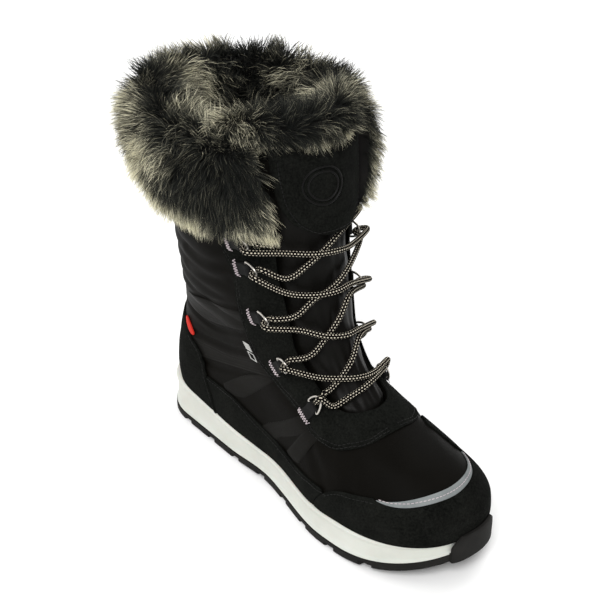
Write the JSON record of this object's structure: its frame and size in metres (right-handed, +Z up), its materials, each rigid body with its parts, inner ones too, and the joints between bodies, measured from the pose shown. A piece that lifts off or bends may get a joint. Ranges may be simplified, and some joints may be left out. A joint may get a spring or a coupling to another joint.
{
  "type": "winter boot",
  "caption": "Right-foot lace-up winter boot with a deep fur cuff, padded tongue with flap, suede overlays, metal lace rings, foam midsole and lugged rubber outsole.",
  "frame": {"origin": "middle of the boot's box, on the floor that it stands on", "axes": "+X from heel to toe, +Y to the inner side of the right foot, +Z up"},
  "size_m": [0.3098, 0.172, 0.2801],
  "materials": {
    "rubber": "matt dark grey moulded rubber",
    "foam": "off-white moulded foam",
    "felt": "dark felt footbed",
    "nylon": "brown-black padded nylon with a faint sheen",
    "suede": "black suede with a short matt nap",
    "reflective": "pale grey reflective piping",
    "tag": "woven red tape",
    "fur": "long pile with dark roots and cream tips",
    "cord": "round woven lace with pale flecks",
    "metal": "polished wire"
  },
  "bodies": {
    "root": {"outsole": "rubber", "midsole": "foam", "insole": "felt", "upper": "nylon", "toe_cap": "suede", "toe_reflector": "reflective", "rand_lateral": "suede", "rand_medial": "suede", "heel_counter": "suede", "heel_tag": "tag", "eyestay": "suede", "tongue": "nylon", "tongue_flap": "suede", "tongue_fur": "fur", "collar_fur": "fur", "laces": "cord", "ring_lateral_1": "metal", "ring_lateral_2": "metal", "ring_lateral_3": "metal", "ring_lateral_4": "metal", "ring_lateral_5": "metal", "ring_medial_1": "metal", "ring_medial_2": "metal", "ring_medial_3": "metal", "ring_medial_4": "metal", "ring_medial_5": "metal"}
  },
  "joints": []
}
